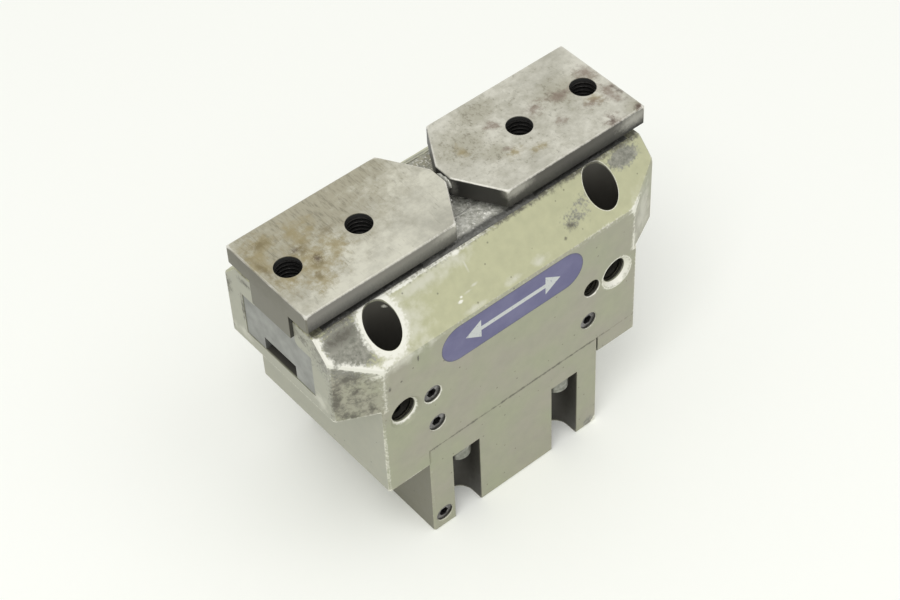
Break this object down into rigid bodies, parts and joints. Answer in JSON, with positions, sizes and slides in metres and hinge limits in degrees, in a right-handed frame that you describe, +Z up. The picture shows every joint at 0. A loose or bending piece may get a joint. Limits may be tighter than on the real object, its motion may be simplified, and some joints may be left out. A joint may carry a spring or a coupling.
{
  "type": "parallel gripper",
  "caption": "Pneumatic parallel gripper: a stepped anodised housing with two pointed steel jaw plates that slide apart, driven by a wedge hook and a sprung piston.",
  "frame": {"origin": "middle of the underside of the cylinder block, on the surface the gripper stands on", "axes": "+X along the travel of the right-hand jaw, -Y out of the front face with the ports and the label, +Z up to the jaw plates"},
  "size_m": [0.1274, 0.063, 0.1115],
  "materials": {
    "anodised_aluminium": "hard anodised, satin, worn at the edges",
    "plain_aluminium": "turned",
    "hardened_steel": "ground",
    "ground_steel": "surface ground, stained",
    "fastener_steel": "zinc plated",
    "spring_steel": "drawn and oiled",
    "bush_bronze": "turned",
    "seal_rubber": "matte",
    "guide_plastic": "machined",
    "label_film": "printed film"
  },
  "bodies": {
    "body": {"housing": "anodised_aluminium", "cylinder_block": "anodised_aluminium", "cylinder_head": "plain_aluminium", "rod_bush": "bush_bronze", "rod_seal": "seal_rubber", "seal_retainer": "fastener_steel", "head_seal": "seal_rubber", "block_seal": "seal_rubber", "block_screws": "fastener_steel", "block_dowels": "fastener_steel", "port_plug_upper_left": "fastener_steel", "port_plugs_lower": "fastener_steel", "vent_plug": "fastener_steel", "front_label": "label_film", "closing_spring": "spring_steel"},
    "jaw_right": {"base_jaw_right": "hardened_steel", "jaw_plate_right": "ground_steel", "jaw_screws_right": "fastener_steel", "jaw_dowel_right": "fastener_steel"},
    "jaw_left": {"base_jaw_left": "hardened_steel", "jaw_plate_left": "ground_steel", "jaw_screws_left": "fastener_steel", "jaw_dowel_left": "fastener_steel"},
    "piston": {"piston": "plain_aluminium", "piston_seal": "seal_rubber", "piston_guide_ring": "guide_plastic", "piston_bumper": "seal_rubber", "piston_rod": "hardened_steel", "wedge_hook": "hardened_steel", "wedge_screw": "fastener_steel"}
  },
  "joints": [
    {"name": "jaw_right_slide", "type": "slide", "parent": "body", "child": "jaw_right", "axis": [1, 0, 0], "range_m": [0, 0.01]},
    {"name": "jaw_left_slide", "type": "slide", "parent": "body", "child": "jaw_left", "axis": [-1, 0, 0], "range_m": [0, 0.01]},
    {"name": "piston_slide", "type": "slide", "parent": "body", "child": "piston", "axis": [0, 0, 1], "range_m": [-0.014, 0], "stiffness_N_per_m": 3000, "springref_m": 0.02, "deforming": ["closing_spring"]}
  ],
  "couplings": [
    {"joint": "jaw_left_slide", "follows": "jaw_right_slide", "ratio": 1},
    {"joint": "piston_slide", "follows": "jaw_right_slide", "ratio": -1.4}
  ]
}
